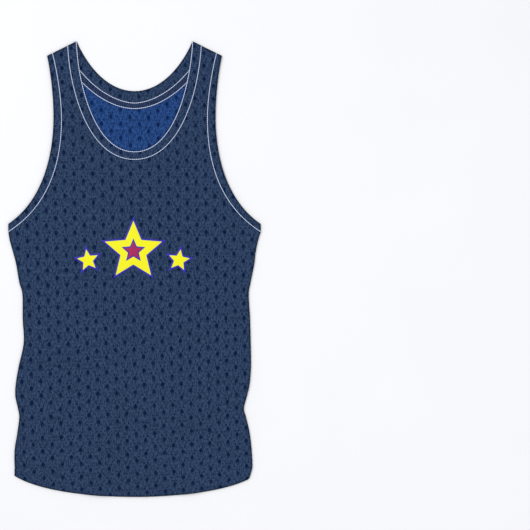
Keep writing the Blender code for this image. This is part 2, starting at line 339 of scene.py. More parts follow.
def inset(outline, distance):
    forward = np.roll(outline, -1, axis=0) - outline
    forward /= np.linalg.norm(forward, axis=1)[:, None]
    back = np.roll(forward, 1, axis=0)
    inward = np.column_stack([-back[:, 1] - forward[:, 1], back[:, 0] + forward[:, 0]])
    inward /= np.linalg.norm(inward, axis=1)[:, None]
    # a sharp corner moves no further than twice the distance
    lean = np.maximum(0.5, (inward * np.column_stack([-back[:, 1], back[:, 0]])).sum(1))
    return outline + inward * (distance / lean)[:, None]


def signedArea(outline):
    # positive where the outline runs counter-clockwise
    x, y = outline.T
    return 0.5 * (x * np.roll(y, -1) - np.roll(x, -1) * y).sum()


def counterClockwise(outline):
    return outline if signedArea(outline) > 0 else outline[::-1]


def inBox(points, outline):
    return ((points > outline.min(0)) & (points < outline.max(0))).all(1)


def inWindow(points, window, margin):
    (lowX, lowY), (highX, highY) = window
    return ((points[:, 0] > lowX + margin) & (points[:, 0] < highX - margin)
            & (points[:, 1] > lowY + margin) & (points[:, 1] < highY - margin))


def holeSpots(grain, kind, outline):
    # where the holes of one kind lie whole inside the outline
    columns = np.arange(-grainReach["columns"], grainReach["columns"] + 1)
    rows = np.arange(-grainReach["rowsUp"], grainReach["rowsDown"] + 1)
    counts = np.array([(c, r) for c in columns for r in rows if (c + r) % 2 == 0], float)
    reach = kind["rings"][0][0] * holeClear["outline"]
    found = []
    for offset in kind["at"]:
        spots = grainPoint(grain, counts + np.array(offset))
        spots = spots[inBox(spots, outline)]
        fits = isInside(spots, outline)
        for angle in np.linspace(0, 2 * np.pi, holeClear["tested"], endpoint=False):
            edge = np.array([kind["halfWidth"] * np.sin(angle), kind["halfHeight"] * np.cos(angle)])
            fits &= isInside(spots + edge * reach, outline)
        found.append(spots[fits])
    return np.vstack(found)


def ringPoints(kind, scale):
    t = np.arange(kind["sides"]) * 2 * np.pi / kind["sides"]
    width = np.sin(t) * (1.0 - kind["pointed"] * np.cos(t))
    return np.column_stack([kind["halfWidth"] * width, kind["halfHeight"] * np.cos(t)]) * scale


def pressedHoles(outline, grain, depth, window):
    # the rings of every hole: places, how deep each is, the ring edges, and the holes themselves.
    # A window leaves out the holes that another layer hides.
    places, deep, edges, holes = [], [], [], []
    count = 0
    for kind in (eyelet, pinhole):
        spots = holeSpots(grain, kind, outline)
        if window is not None:
            spots = spots[inWindow(spots, window, holeClear["window"])]
        for spot in spots:
            holes.append((spot, kind))
            for scale, share in kind["rings"]:
                ring = spot + ringPoints(kind, scale)
                places.append(ring)
                deep.append(np.full(len(ring), depth * share))
                index = count + np.arange(len(ring))
                edges += list(zip(index.tolist(), np.roll(index, -1).tolist()))
                count += len(ring)
            places.append(spot[None, :])
            deep.append(np.array([depth * kind["floor"]]))
            count += 1
    return places, deep, edges, holes


def clearOfHoles(points, holes):
    tree = KDTree(len(holes))
    for i, (spot, _) in enumerate(holes):
        tree.insert((spot[0], spot[1], 0.0), i)
    tree.balance()
    clear = np.ones(len(points), bool)
    for k, (x, y) in enumerate(points):
        for _, i, _ in tree.find_n((x, y, 0.0), holeClear["nearby"]):
            spot, kind = holes[i]
            away = math.hypot((x - spot[0]) / kind["halfWidth"], (y - spot[1]) / kind["halfHeight"])
            clear[k] &= away > kind["rings"][0][0] * holeClear["points"]
    return clear


def sparsePoints(outline, spacing):
    low, high = outline.min(0), outline.max(0)
    rowPitch = spacing * math.sqrt(3) / 2
    rows = np.arange(low[1], high[1], rowPitch)
    grid = np.array([(x + spacing / 2 * (j % 2), y) for j, y in enumerate(rows)
                     for x in np.arange(low[0], high[0], spacing)])
    grid = grid[isInside(grid, outline)]
    return grid[nearest(grid, outline) > spacing / 2]


def plainPoints(outline, grain, look, window):
    # points of the cloth between the holes, and sparse ones outside the window
    perColumn, perRow = grainReach["pointsPerColumn"], grainReach["pointsPerRow"]
    across = perColumn * grainReach["columns"]
    columns = np.arange(-across, across + 1) / perColumn
    rows = np.arange(-perRow * grainReach["rowsUp"], perRow * grainReach["rowsDown"] + 1) / perRow
    grid = grainPoint(grain, np.array([(c, r) for c in columns for r in rows]))
    grid = grid[inBox(grid, outline)]
    grid = grid[isInside(grid, outline)]
    grid = grid[nearest(grid, outline) > look["clearance"]]
    if window is None:
        return grid
    sparse = sparsePoints(outline, look["sparse"])
    outside = ~inWindow(sparse, window, -holeClear["sparse"])
    return np.vstack([grid[inWindow(grid, window, 0.0)], sparse[outside]])


def surfacePoints(outline, grain, depth, look, window):
    # points of one side of the cloth, how deep each is and the ring edges; plain where depth is None
    if depth is None:
        places = sparsePoints(outline, look["sparse"])
        return places, np.zeros(len(places)), []
    places, deep, edges, holes = pressedHoles(outline, grain, depth, window)
    plain = plainPoints(outline, grain, look, window)
    if holes:
        plain = plain[clearOfHoles(plain, holes)]
    return np.vstack(places + [plain]), np.concatenate(deep + [np.zeros(len(plain))]), edges


# The cloth gets painted shade where it turns under at the garment's edge: the step of the points along that
# edge, and how far in the painted shade reaches.
paintedEdgeShade = {"step": 0.0005, "reach": 0.0034}


def garmentEdge():
    runs = []
    for side, sign in (("left", -1), ("right", 1)):
        runs += [placed(line, sign) for line in (
            bezier(cut["backNeckEdge"]), armhole("armholeEdge"), sideSeam(side), hemHalf(side),
            [cut["backNeckEdge"][0], cut["armholeEdge"][0][0]])]
    fine = []
    for run in runs:
        for start, end in zip(run, run[1:]):
            steps = max(1, math.ceil(np.linalg.norm(end - start) / paintedEdgeShade["step"]))
            fine += [start + (end - start) * i / steps for i in range(steps)]
    return np.array(fine)


paintedShadeEdgeLine = garmentEdge()


def filled(loop, places, deep, edges):
    # triangles of a surface that ends in the loop; gives its points, depths and triangles, and where
    # the loop's own points are among them
    count = len(loop)
    points = [Vector(p) for p in np.vstack([loop, places])]
    shifted = [(a + count, b + count) for a, b in edges]
    flat, _, triangles, origins, *_ = delaunay_2d_cdt(
        points, shifted, [list(range(count))], 1, cloth["weld"])
    allDeep = np.concatenate([np.zeros(count), deep])
    first = [o[0] if o else -1 for o in origins]
    found = np.array([(p.x, p.y) for p in flat])
    foundDeep = np.array([allDeep[i] if i >= 0 else 0.0 for i in first])
    onLoop = {i: k for k, o in enumerate(origins) for i in o if i < count}
    triangles = np.array(triangles)
    a, b, c = found[triangles[:, 0]], found[triangles[:, 1]], found[triangles[:, 2]]
    turned = (b[:, 0] - a[:, 0]) * (c[:, 1] - a[:, 1]) - (b[:, 1] - a[:, 1]) * (c[:, 0] - a[:, 0])
    triangles[turned < 0] = triangles[turned < 0][:, ::-1]
    return found, foundDeep, triangles, np.array([onLoop[i] for i in range(count)])


def newPiece(name, vertices, faces, materials):
    mesh = bpy.data.meshes.new(name)
    mesh.from_pydata(vertices, [], faces)
    mesh.shade_smooth()
    for material in materials:
        mesh.materials.append(material)
    piece = bpy.data.objects.new(name, mesh)
    bpy.context.scene.collection.objects.link(piece)
    return piece


def drawGrain(mesh, places, faces, isUnder, look):
    # the UV map counts columns and rows, on the grain of the side that each face is on
    upper = grainCounts(look["topGrain"], places)
    lower = grainCounts(look["underGrain"], places)
    corner = np.zeros(len(mesh.loops), np.int32)
    mesh.loops.foreach_get("vertex_index", corner)
    cornerUnder = np.repeat(isUnder, [len(face) for face in faces])
    counts = np.where(cornerUnder[:, None], lower[corner], upper[corner])
    layer = mesh.uv_layers.new(name="knit")
    layer.uv.foreach_set("vector", counts.astype(np.float32).ravel())


def makeShell(name, outline, under, thickness, look):
    # a closed shell of cloth: its two sides, and a round edge that joins them
    outline = inset(counterClockwise(outline), cut["seamGap"] / 2)
    radius = thickness / 2
    loop = inset(outline, radius)

    def surface(grain, depth, window, sinkShare):
        # one side, with rows of points along the edge where the cloth sinks
        places, deep, edges = surfacePoints(loop, grain, depth, look, window)
        added, sinks = [places], [deep]
        for distance, sink in look["edgeRows"]:
            row = inset(outline, distance)
            row = row[isInside(row, loop)]
            row = row[nearest(row, outline) > radius * cloth["rowClear"]]
            row = row[nearest(row, places) > cloth["rowApart"]]
            added.append(row)
            sinks.append(np.full(len(row), sink * sinkShare))
        return filled(loop, np.vstack(added), np.concatenate(sinks), edges)

    top, topDeep, topFaces, topLoop = surface(look["topGrain"], look["topDepth"], look["topWindow"], 1.0)
    low, lowDeep, lowFaces, lowLoop = surface(
        look["underGrain"], look["underDepth"], None, look["underSink"])
    swell = look["puff"] * ease(nearest(top, outline) / look["puffReach"]) if look["puff"] else 0.0
    vertices = [np.column_stack([top, under(top) + thickness - topDeep + swell]),
                np.column_stack([low, under(low) + lowDeep])]
    count = len(top) + len(low)
    middle = under(loop) + thickness / 2
    rings = [topLoop]
    for row in range(1, cloth["edgeRows"]):
        angle = math.pi / 2 - math.pi * row / cloth["edgeRows"]
        place = loop + (outline - loop) * math.cos(angle)
        vertices.append(np.column_stack([place, middle + radius * math.sin(angle)]))
        rings.append(count + np.arange(len(loop)))
        count += len(loop)
    rings.append(lowLoop + len(top))
    vertices = np.vstack(vertices)
    faces = [tuple(f) for f in topFaces.tolist()]
    faces += [tuple(f) for f in (lowFaces[:, ::-1] + len(top)).tolist()]
    isUnder = [False] * len(topFaces) + [True] * len(lowFaces)
    for row, (above, below) in enumerate(zip(rings, rings[1:])):
        nextAbove, nextBelow = np.roll(above, -1), np.roll(below, -1)
        faces += list(zip(above.tolist(), below.tolist(), nextBelow.tolist(), nextAbove.tolist()))
        isUnder += [row >= cloth["edgeRows"] / 2] * len(above)
    piece = newPiece(name, vertices.tolist(), faces, look["materials"])
    mesh = piece.data
    if len(look["materials"]) > 1:
        mesh.polygons.foreach_set("material_index", np.array(isUnder, np.int32))
    drawGrain(mesh, vertices[:, :2], faces, isUnder, look)
    # painted shade along the garment's outer edge, strongest at the edge and fading in over its reach
    dark = mesh.attributes.new("paintedEdgeShade", "FLOAT", "POINT")
    dark.data.foreach_set("value", 1.0 - ease(nearest(vertices, paintedShadeEdgeLine) / paintedEdgeShade["reach"]))
    mesh.update()
    return piece


def hexToLinear(code):
    channels = [int(code[i:i + 2], 16) / 255 for i in (1, 3, 5)]
    return [c / 12.92 if c <= 0.04045 else ((c + 0.055) / 1.055) ** 2.4 for c in channels] + [1.0]


def plug(tree, source, socket):
    # a node stands for its first output; output 2 is a mixed colour
    tree.links.new(source.outputs[0] if isinstance(source, bpy.types.Node) else source, socket)


def addNode(tree, kind, settings=None, links=None):
    # inputs go by their label or their number; what is neither is a setting of the node itself
    node = tree.nodes.new("ShaderNode" + kind)
    for name, value in (settings or {}).items():
        if isinstance(name, int) or name in node.inputs:
            node.inputs[name].default_value = value
        else:
            setattr(node, name, value)
    for name, source in (links or {}).items():
        plug(tree, source, node.inputs[name])
    return node


def newMaterial(name, shaderSettings):
    material = bpy.data.materials.new(name)
    material.use_nodes = True
    tree = material.node_tree
    shader = tree.nodes["Principled BSDF"]
    for socket, value in shaderSettings.items():
        shader.inputs[socket].default_value = value
    return material, tree, shader


# Warp-knitted polyester eyelet mesh, dyed and heat set: matt, a faint pale sheen at grazing angles,
# eyelets pressed in as shallow dimples with painted shade as dark teardrops, and lighter loops of yarn that
# run up the cloth round them.
knit = {
    "pitch": (15.1, -11.7, 0.0),  # millimetres to a column and a row of the grain
    # Dark marks of one repeat, in millimetres from its eyelet, with y up; paired ones stand at both
    # sides of it. The eyelet with its tail below, and the first pair over the pinholes, are painted shade
    # for holes through the cloth; the other marks are further dark spots. Soft is the share of a mark over
    # which it fades.
    "marks": (
        {"x": 0.0, "y": 0.1, "halfWidth": 3.4, "halfHeight": 5.1, "dark": 0.92, "soft": 0.46},
        {"x": 0.0, "y": -6.3, "halfWidth": 1.8, "halfHeight": 4.4, "dark": 0.42, "soft": 0.9},
    ),
    "pairedMarks": (
        {"x": 3.1, "y": 6.9, "halfWidth": 1.7, "halfHeight": 2.3, "dark": 0.95, "soft": 0.7},
        {"x": 9.8, "y": 0.7, "halfWidth": 2.1, "halfHeight": 2.1, "dark": 0.42, "soft": 0.8},
        {"x": 5.6, "y": -4.5, "halfWidth": 1.5, "halfHeight": 2.5, "dark": 0.52, "soft": 0.8},
    ),
    "uneven": {"To Min": 0.90, "To Max": 1.06},  # how dark one repeat is beside the next
    "stray": 0.6, "bend": 1.4,  # spans, in mm, over which a mark's place and its shape vary
    "bendNoise": {"Scale": 0.45, "Detail": 1.5, "Roughness": 0.6},
    "pointedTop": 0.055,  # how much narrower an unpaired mark gets for each mm up
    "loopAt": 1.75, "loopReach": 0.6,  # the pale loop round an eyelet, in sizes of the eyelet
    "loopShare": 0.25,  # how far that loop goes from ground to strand
    "strandWidth": 1.75, "strandLength": 6.2,  # drawn about twice as wide as real loops, to show
    "strandNoise": {"Scale": 1.0, "Detail": 2.0, "Roughness": 0.62, "Distortion": 0.2},
    "strandRange": {"interpolation_type": "SMOOTHSTEP", "From Min": 0.40, "From Max": 0.60},
    "wale": 1.25, "course": 1.0, "slant": 1.3, "vShare": 0.2,  # the knit's own rows of small Vs
    "patchNoise": {"Scale": 0.012, "Detail": 3.0},
    "patchRange": {"From Min": 0.3, "From Max": 0.7, "To Min": 0.97, "To Max": 1.03},
    "reliefNoise": {"Scale": 1.3, "Detail": 3.0, "Roughness": 0.7},  # loops at their real pitch
    "reliefHeight": 0.0004, "raised": 0.6,  # metres, and the share of it that the loops rise
    "paintedEdgeShadeShare": 0.85,  # how much darker the painted shade makes the turned edge of the cloth
    "throughFilm": 0.16,  # how strongly the relief shows through the film
    # the hole colour is painted shade, for the eyelets and pinholes
    "navy": {"ground": "#1a2a47", "strand": "#354966", "holeShade": "#03183a", "roughness": 0.82, "bump": 0.35},
    "royal": {"ground": "#15305f", "strand": "#2b4e88", "holeShade": "#061f4c", "roughness": 0.85, "bump": 0.35},
    "tape": {"ground": "#1a2540", "strand": "#304060", "roughness": 0.85, "bump": 0.3},
}
knitSurface = {
    "IOR": 1.5, "Specular IOR Level": 0.04, "Sheen Weight": 0.04, "Sheen Roughness": 0.5,
    "Sheen Tint": hexToLinear("#8fa2c8"),
}


def grainPlace(tree):
    # where a point is on the grain: in columns and rows, and in millimetres
    counts = addNode(tree, "UVMap", {"uv_map": "knit"}).outputs["UV"]
    metric = addNode(tree, "VectorMath", {"operation": "MULTIPLY", 1: knit["pitch"]}, {0: counts})
    return counts, metric


def yarnLoops(tree, metric):
    # how much each place is a raised loop of yarn: long and narrow up the cloth
    size = (1.0 / knit["strandWidth"], 1.0 / knit["strandLength"], 1.0)
    along = addNode(tree, "VectorMath", {"operation": "MULTIPLY", 1: size}, {0: metric})
    strands = addNode(tree, "TexNoise", knit["strandNoise"], {"Vector": along})
    strand = addNode(tree, "MapRange", knit["strandRange"], {"Value": strands})
    turns = (1.0 / knit["wale"], 2 * math.pi / knit["course"], 0.0)
    counted = addNode(tree, "VectorMath", {"operation": "MULTIPLY", 1: turns}, {0: metric})
    apart = addNode(tree, "SeparateXYZ", {}, {0: counted})
    inWale = addNode(tree, "Math", {"operation": "PINGPONG", 1: 0.5}, {0: apart.outputs["X"]})
    slanted = addNode(tree, "Math", {"operation": "MULTIPLY_ADD", 1: 2 * math.pi * knit["slant"]},
                      {0: inWale, 2: apart.outputs["Y"]})
    rows = addNode(tree, "Math", {"operation": "SINE"}, {0: slanted})
    return addNode(tree, "Math", {"operation": "MULTIPLY_ADD", 1: knit["vShare"], "use_clamp": True},
                   {0: rows, 2: strand})


def yarnColour(tree, metric, finish, loops):
    # ground to strand, a little uneven over the cloth, and with painted shade where the edge turns under
    patches = addNode(tree, "TexNoise", knit["patchNoise"], {"Vector": metric})
    tone = addNode(tree, "MapRange", knit["patchRange"], {"Value": patches})
    # the painted shade along the garment's outer edge
    turned = addNode(tree, "Attribute", {"attribute_name": "paintedEdgeShade"})
    shade = addNode(tree, "Math", {"operation": "MULTIPLY_ADD", 1: -knit["paintedEdgeShadeShare"], 2: 1.0},
                    {0: turned.outputs["Fac"]})
    both = addNode(tree, "Math", {"operation": "MULTIPLY"}, {0: tone, 1: shade})
    yarn = addNode(tree, "Mix", {"data_type": "RGBA", 6: hexToLinear(finish["ground"]),
                                 7: hexToLinear(finish["strand"])}, {0: loops})
    return addNode(tree, "VectorMath", {"operation": "SCALE"}, {0: yarn.outputs[2], "Scale": both})


def fineRelief(tree, metric, raised, shader, strength):
    # fine loops over what is raised
    loops = addNode(tree, "TexNoise", knit["reliefNoise"], {"Vector": metric})
    relief = addNode(tree, "Math", {"operation": "ADD"}, {0: raised, 1: loops})
    bump = addNode(tree, "Bump", {"Strength": strength, "Distance": knit["reliefHeight"]},
                   {"Height": relief})
    plug(tree, bump, shader.inputs["Normal"])


def pairOfDots(tree, source, directions):
    # a vector measured along two directions
    dots = [addNode(tree, "VectorMath", {"operation": "DOT_PRODUCT", 1: direction},
                    {0: source}).outputs["Value"] for direction in directions]
    return addNode(tree, "CombineXYZ", {}, {"X": dots[0], "Y": dots[1]})


def inRepeat(tree, counts):
    # a repeat holds one eyelet: which repeat a point is in, and its place there in millimetres.
    # Repeats are counted by half of column plus row, and half of column less row.
    cell = pairOfDots(tree, counts, ((0.5, 0.5, 0.0), (0.5, -0.5, 0.0)))
    shifted = addNode(tree, "VectorMath", {"operation": "ADD", 1: (0.5, 0.5, 0.0)}, {0: cell})
    repeat = addNode(tree, "VectorMath", {"operation": "FLOOR"}, {0: shifted})
    inCell = addNode(tree, "VectorMath", {"operation": "SUBTRACT"}, {0: cell, 1: repeat})
    width, height, _ = knit["pitch"]
    place = pairOfDots(tree, inCell, ((width, width, 0.0), (height, -height, 0.0)))
    return repeat, place


def strayed(tree, place, chance, metric):
    # each eyelet is a little off its place, and a little out of its shape
    bend = addNode(tree, "TexNoise", knit["bendNoise"], {"Vector": metric})
    for source, amount in ((chance, knit["stray"]), (bend.outputs["Color"], knit["bend"])):
        centred = addNode(tree, "VectorMath", {"operation": "SUBTRACT", 1: (0.5, 0.5, 0.5)}, {0: source})
        place = addNode(tree, "VectorMath", {"operation": "MULTIPLY_ADD", 1: (amount, amount, 0.0)},
                        {0: centred, 2: place})
    return place


def darkMark(tree, source, mark):
    # how dark one mark is, and how far off its middle a point is, in sizes of the mark
    away = addNode(tree, "VectorMath",
                   {"operation": "SUBTRACT", 1: (mark["x"], mark["y"], 0.0)}, {0: source})
    scaled = addNode(tree, "VectorMath",
                     {"operation": "DIVIDE", 1: (mark["halfWidth"], mark["halfHeight"], 1.0)}, {0: away})
    reach = addNode(tree, "VectorMath", {"operation": "LENGTH"}, {0: scaled})
    mask = addNode(tree, "MapRange",
                   {"interpolation_type": "SMOOTHSTEP", "From Min": 1.0, "From Max": 1.0 - mark["soft"],
                    "To Min": 0.0, "To Max": mark["dark"]}, {"Value": reach.outputs["Value"]})
    return mask, reach.outputs["Value"]


def allMarks(tree, place):
    # the darkest of a repeat's marks, and how far off its eyelet a point is; unpaired marks narrow
    # towards their tops
    apart = addNode(tree, "SeparateXYZ", {}, {0: place})
    lean = addNode(tree, "Math", {"operation": "MULTIPLY_ADD", 1: knit["pointedTop"], 2: 1.0},
                   {0: apart.outputs["Y"]})
    across = addNode(tree, "Math", {"operation": "MULTIPLY"}, {0: apart.outputs["X"], 1: lean})
    mirrored = addNode(tree, "Math", {"operation": "ABSOLUTE"}, {0: apart.outputs["X"]})
    single, paired = (addNode(tree, "CombineXYZ", {}, {"X": x, "Y": apart.outputs["Y"]})
                      for x in (across, mirrored))
    found = [darkMark(tree, single, mark) for mark in knit["marks"]]
    found += [darkMark(tree, paired, mark) for mark in knit["pairedMarks"]]
    dark, eyeletReach = found[0]
    for mask, _ in found[1:]:
        dark = addNode(tree, "Math", {"operation": "MAXIMUM"}, {0: dark, 1: mask})
    return dark, eyeletReach


def paleLoop(tree, eyeletReach):
    # the loop of yarn that stands round an eyelet
    off = addNode(tree, "Math", {"operation": "SUBTRACT", 1: knit["loopAt"]}, {0: eyeletReach})
    away = addNode(tree, "Math", {"operation": "ABSOLUTE"}, {0: off})
    return addNode(tree, "MapRange",
                   {"interpolation_type": "SMOOTHSTEP", "From Min": knit["loopReach"], "From Max": 0.0,
                    "To Min": 0.0, "To Max": knit["loopShare"]}, {"Value": away})


def eyeletKnit(name, finish):
    material, tree, shader = newMaterial(name, {**knitSurface, "Roughness": finish["roughness"]})
    counts, metric = grainPlace(tree)
    repeat, place = inRepeat(tree, counts)
    chance = addNode(tree, "TexWhiteNoise", {"noise_dimensions": "2D"}, {"Vector": repeat})
    place = strayed(tree, place, chance.outputs["Color"], metric)
    dark, eyeletReach = allMarks(tree, place)
    uneven = addNode(tree, "MapRange", knit["uneven"], {"Value": chance.outputs["Value"]})
    dark = addNode(tree, "Math", {"operation": "MULTIPLY", "use_clamp": True}, {0: dark, 1: uneven})
    loops = addNode(tree, "Math", {"operation": "ADD", "use_clamp": True},
                    {0: yarnLoops(tree, metric), 1: paleLoop(tree, eyeletReach)})
    # the marks blend towards the hole colour, painted shade for the eyelets and pinholes
    final = addNode(tree, "Mix", {"data_type": "RGBA", 7: hexToLinear(finish["holeShade"])},
                    {0: dark, 6: yarnColour(tree, metric, finish, loops)})
    plug(tree, final.outputs[2], shader.inputs["Base Color"])
    raised = addNode(tree, "Math", {"operation": "MULTIPLY", 1: knit["raised"]}, {0: loops})
    pressed = addNode(tree, "Math", {"operation": "SUBTRACT"}, {0: raised, 1: dark})
    fineRelief(tree, metric, pressed, shader, finish["bump"])
    return material


# Knitted polyester tape, the mesh's yarn without its holes: matt and closed.
def plainKnit(name, finish):
    material, tree, shader = newMaterial(name, {**knitSurface, "Roughness": finish["roughness"]})
    _, metric = grainPlace(tree)
    loops = yarnLoops(tree, metric)
    plug(tree, yarnColour(tree, metric, finish, loops), shader.inputs["Base Color"])
    fineRelief(tree, metric, loops, shader, finish["bump"])
    return material


# Spun polyester sewing thread, two plies twisted: bright white, with bluish painted shade in the grooves
# between the plies.
threadLook = {
    "colour": "#e9f1ff", "shade": "#cbd9ff", "pliesPerStitch": 5.0, "twistBump": 0.5, "twistHeight": 0.0001,
}


def spunThread():
    material, tree, shader = newMaterial("spun polyester thread", {
        "Roughness": 0.55, "Specular IOR Level": 0.35, "Sheen Weight": 0.1,
    })
    place = addNode(tree, "UVMap", {"uv_map": "twist"})
    twist = addNode(tree, "VectorMath",
                    {"operation": "DOT_PRODUCT", 1: (threadLook["pliesPerStitch"], 1.0, 0.0)}, {0: place})
    wave = addNode(tree, "Math", {"operation": "PINGPONG", 1: 0.5}, {0: twist.outputs["Value"]})
    doubled = addNode(tree, "Math", {"operation": "MULTIPLY", 1: 2.0}, {0: wave})
    # painted shade in the grooves between the plies, where the twist's bump is low
    colour = addNode(tree, "Mix", {"data_type": "RGBA", 6: hexToLinear(threadLook["shade"]),
                                   7: hexToLinear(threadLook["colour"])}, {0: doubled})
    plug(tree, colour.outputs[2], shader.inputs["Base Color"])
    bump = addNode(tree, "Bump",
                   {"Strength": threadLook["twistBump"], "Distance": threadLook["twistHeight"]},
                   {"Height": doubled})
    plug(tree, bump, shader.inputs["Normal"])
    return material


# Heat-transfer film, pressed on hot: smooth satin plastic, with a faint print of the knit under it.
def pressedFilm(name, colour):
    material, tree, shader = newMaterial(name, {
        "Base Color": hexToLinear(colour), "Roughness": 0.42, "IOR": 1.46, "Specular IOR Level": 0.3,
    })
    _, metric = grainPlace(tree)
    fineRelief(tree, metric, yarnLoops(tree, metric), shader, knit["throughFilm"])
    return material


navyKnit = eyeletKnit("polyester eyelet mesh, face, navy", knit["navy"])
royalKnit = eyeletKnit("polyester eyelet mesh, wrong side, royal", knit["royal"])
tapeMaterial = plainKnit("knitted polyester tape, navy", knit["tape"])
threadMaterial = spunThread()
print("materials made")

# Each shell's look: how deep the holes are pressed in on each side, or None for a plain side; a
# window for the upper side's holes, where another layer hides the rest; how far apart sparse points
# are, and how clear of the edge the points between holes; the rows along the edge as (how far in,
# how far the cloth sinks there), and the share of that sinking on the underside; and how much it
# swells between its edges, and how far in it does. Materials are the upper and the lower side's.
panelEdgeRows = ((0.0014, 0.00022), (0.0028, 0.0))
bandEdgeRows = ((0.0016, 0.00018), (0.0034, 0.0))
plainShell = {
    "topGrain": grainFront, "underGrain": grainFront, "topDepth": None, "underDepth": None,
    "topWindow": None, "sparse": 0.006, "clearance": 0.0033, "edgeRows": bandEdgeRows, "underSink": 0.0,
    "puff": 0.0, "puffReach": 0.005, "materials": (navyKnit,),
}
shellLooks = {
    "frontPanel": {**plainShell, "topDepth": 0.00075, "sparse": 0.012, "edgeRows": panelEdgeRows,
                   "materials": (navyKnit, royalKnit)},
    "backPanel": {**plainShell, "underGrain": grainBack, "topDepth": 0.00045, "underDepth": 0.00045,
                  "topWindow": ((-0.115, 0.165), (0.115, 0.380)),  # what the front scoop shows
                  "sparse": 0.012, "edgeRows": panelEdgeRows, "underSink": 1.0,
                  "materials": (royalKnit, navyKnit)},
    "frontBand": {**plainShell, "topDepth": 0.00060, "puff": cloth["bandPuff"]},
    "backBand": {**plainShell, "underGrain": grainBack, "topDepth": 0.00045, "underDepth": 0.00045,
                 "underSink": 1.0},
    "tape": {**plainShell, "sparse": 0.003, "edgeRows": ((0.0015, 0.0001), (0.003, 0.0)),
             "materials": (tapeMaterial,)},
}


def dress(node, outline, under, thickness, look):
    piece = makeShell(node + "_cloth", outline, under, thickness, look)
    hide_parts(node)
    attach(piece, "root")
    print(node, "has", len(piece.data.polygons), "faces")


# back layer
backOutline = panelOutline(backNeckSeam())
dress("back_panel", backOutline, backUnder, cloth["panel"], shellLooks["backPanel"])
backBandOutline = bandOutline(bezier(cut["backNeckEdge"]), backNeckSeam())
dress("neck_band_back", backBandOutline, backUnder, cloth["band"], shellLooks["backBand"])
for side, sign in (("left", -1), ("right", 1)):
    outline = armholeBandOutline(sign)
    dress(f"armhole_band_{side}_back", outline, backUnder, cloth["band"], shellLooks["backBand"])

# the tape inside the back neck
outline = tapeOutline()
dress("neck_tape", outline, tapeUnder, cloth["tape"], shellLooks["tape"])

# front layer
frontOutline = panelOutline(bezier(cut["frontNeckSeam"]))
dress("front_panel", frontOutline, frontUnder, cloth["panel"], shellLooks["frontPanel"])
outline = bandOutline(bezier(cut["frontNeckEdge"]), bezier(cut["frontNeckSeam"]))
dress("neck_band_front", outline, frontBandUnder, cloth["band"], shellLooks["frontBand"])
for side, sign in (("left", -1), ("right", 1)):
    outline = armholeBandOutline(sign)
    dress(f"armhole_band_{side}_front", outline, frontBandUnder, cloth["band"], shellLooks["frontBand"])
print("cloth made")

# Lockstitch in white thread. Each stitch is an arched grain of thread that dives in at both ends.
stitch = {
    "length": 0.0031, "gap": 0.00020, "width": 0.00116, "thick": 0.00050,
    "rise": 0.00030, "sunk": 0.00006, "sunkBelow": 0.00055, "stations": 6, "sides": 6,
    "archPower": 0.25, "archEnd": 0.02, "leastTaper": 0.6,
    "sight": 0.0004,  # how far before and behind the thread's direction is taken
    "fromEdge": 0.0005,  # how far inside a folded edge a row runs
    "fromSeam": 0.0001,  # how far to the band's side of a seam a row runs
    "hidden": 0.007,  # how far the tape's rows run on under the front band
    "scoopTop": 0.02,  # how far above the shoulders the scoop is closed, to tell what is in it
}
upward = {**stitch, "facing": 1}
downward = {**stitch, "facing": -1, "sunk": stitch["sunkBelow"]}


def arch(t, spec):
    return np.sin(np.pi * np.clip(t, spec["archEnd"], 1.0 - spec["archEnd"])) ** spec["archPower"]


def oneStitch(t, middle, across, height, spec, first):
    # a tapering tube of rings along the thread; t runs from 0 to 1 and gives the twist its place
    stations, sides = spec["stations"], spec["sides"]
    vertices, faces, twists = [], [], []
    for i in range(stations):
        taper = max(spec["leastTaper"], arch(t[i], spec))
        for angle in np.arange(sides) * 2 * np.pi / sides:
            sidewise = across[i] * math.cos(angle) * spec["width"] / 2 * taper
            up = math.sin(angle) * spec["thick"] / 2 * taper
            vertices.append((middle[i, 0] + sidewise[0], middle[i, 1] + sidewise[1], height[i] + up))
    for i in range(stations - 1):
        for j in range(sides):
            a = first + i * sides + j
            b = first + i * sides + (j + 1) % sides
            faces.append((a, b, b + sides, a + sides))
            twists.append([(t[i], j / sides), (t[i], (j + 1) / sides),
                           (t[i + 1], (j + 1) / sides), (t[i + 1], j / sides)])
    last = first + (stations - 1) * sides
    faces.append(tuple(first + j for j in range(sides))[::-1])
    twists.append([(0.0, j / sides) for j in range(sides)][::-1])
    faces.append(tuple(last + j for j in range(sides)))
    twists.append([(1.0, j / sides) for j in range(sides)])
    return vertices, faces, twists


